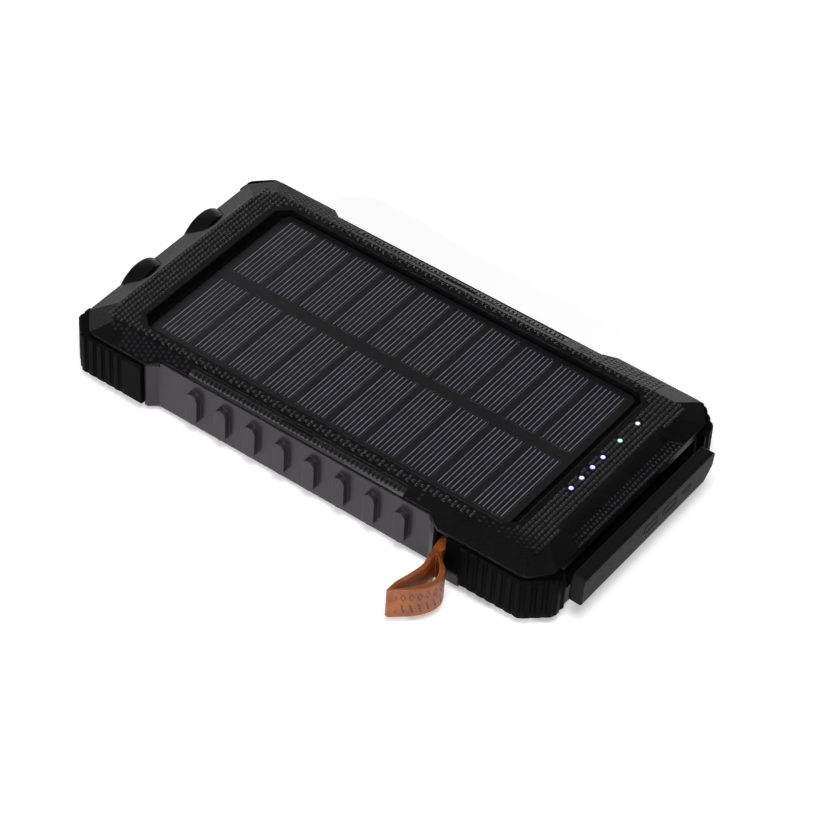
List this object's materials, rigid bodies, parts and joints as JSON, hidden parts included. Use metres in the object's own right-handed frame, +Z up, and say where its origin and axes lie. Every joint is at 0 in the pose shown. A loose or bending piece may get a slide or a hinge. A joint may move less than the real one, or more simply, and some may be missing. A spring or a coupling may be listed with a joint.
{
  "type": "solar power bank",
  "caption": "Rugged rectangular power bank with a solar panel on top, twin torch lenses at one end, rubber corner bumpers, a hinged port flap and a tan wrist strap.",
  "frame": {"origin": "centre of the solar panel, projected down on the flat resting face of the underside", "axes": "+Z up out of the solar panel, +Y along the length towards the torch end, +X across the width away from the strap side"},
  "size_m": [0.103, 0.16, 0.0204],
  "materials": {
    "shell_black": "fine matt texture, woven emboss on the frame",
    "rubber_black": "matt moulded rubber",
    "flap_rubber": "matt moulded rubber",
    "strip_black": "ribbed satin",
    "cover_grey": "satin moulded",
    "laminate_resin": "clear resin over dark backing",
    "cell_silicon": "silicon under clear resin, grey contact fingers",
    "strap_leather": "tan, smooth face",
    "steel": "bright",
    "steel_dark": "blackened",
    "lens_clear": "clear",
    "reflector_chrome": "bright",
    "led_yellow": "phosphor",
    "led_white": "clear",
    "pcb_green": "solder mask",
    "chip_black": "matt",
    "inductor_grey": "ferrite",
    "tongue_white": "plain",
    "light_blue": "glowing blue",
    "light_green": "glowing green",
    "light_white": "glowing white",
    "button_black": "matt",
    "battery_foil": "satin foil",
    "foam_black": "open foam",
    "lead_red": "insulation",
    "lead_black": "insulation",
    "lead_white": "insulation"
  },
  "bodies": {
    "case": {"top_shell": "shell_black", "bottom_shell": "shell_black", "shell_gasket": "rubber_black", "main_board": "pcb_green", "board_screws": "steel", "case_screws": "steel_dark", "solar_cells": "cell_silicon", "solar_laminate": "laminate_resin", "grip_strip_left": "strip_black", "grip_strip_right": "strip_black", "side_cover_left": "cover_grey", "side_cover_right": "cover_grey", "bumper_torch_left": "rubber_black", "bumper_torch_right": "rubber_black", "bumper_port_left": "rubber_black", "bumper_port_right": "rubber_black", "torch_housing": "shell_black", "torch_lens_left": "lens_clear", "torch_lens_right": "lens_clear", "reflector_left": "reflector_chrome", "reflector_right": "reflector_chrome", "torch_board": "pcb_green", "torch_leds": "led_yellow", "usb_socket_left": "steel", "usb_socket_right": "steel", "usb_tongues": "tongue_white", "micro_usb_socket": "steel", "charge_controller": "chip_black", "boost_inductor": "inductor_grey", "indicator_board": "pcb_green", "indicator_leds": "led_white", "charge_light_pipe": "light_blue", "solar_light_pipe": "light_green", "light_sensor_window": "light_white", "tact_switch": "chip_black", "battery_cell_lower": "battery_foil", "battery_cell_upper": "battery_foil", "foam_pad": "foam_black", "battery_lead_red": "lead_red", "battery_lead_black": "lead_black", "torch_leads": "lead_white", "panel_leads": "lead_red", "strap_pin": "steel", "flap_pin": "steel"},
    "strap_loop": {"strap": "strap_leather"},
    "flap": {"port_flap": "flap_rubber"},
    "button": {"power_button": "button_black"}
  },
  "joints": [
    {"name": "strap_swing", "type": "hinge", "parent": "case", "child": "strap_loop", "pos_m": [-0.0352, -0.0452, 0], "axis": [0, 0, 1], "range_deg": [-5, 5]},
    {"name": "flap_hinge", "type": "hinge", "parent": "case", "child": "flap", "pos_m": [0, -0.0783, 0.0047], "axis": [1, 0, 0], "range_deg": [0, 85]},
    {"name": "power_button_press", "type": "slide", "parent": "case", "child": "button", "axis": [-1, 0, 0], "range_m": [0, 0.0005], "stiffness_N_per_m": 1500, "springref_m": -0.0003}
  ]
}
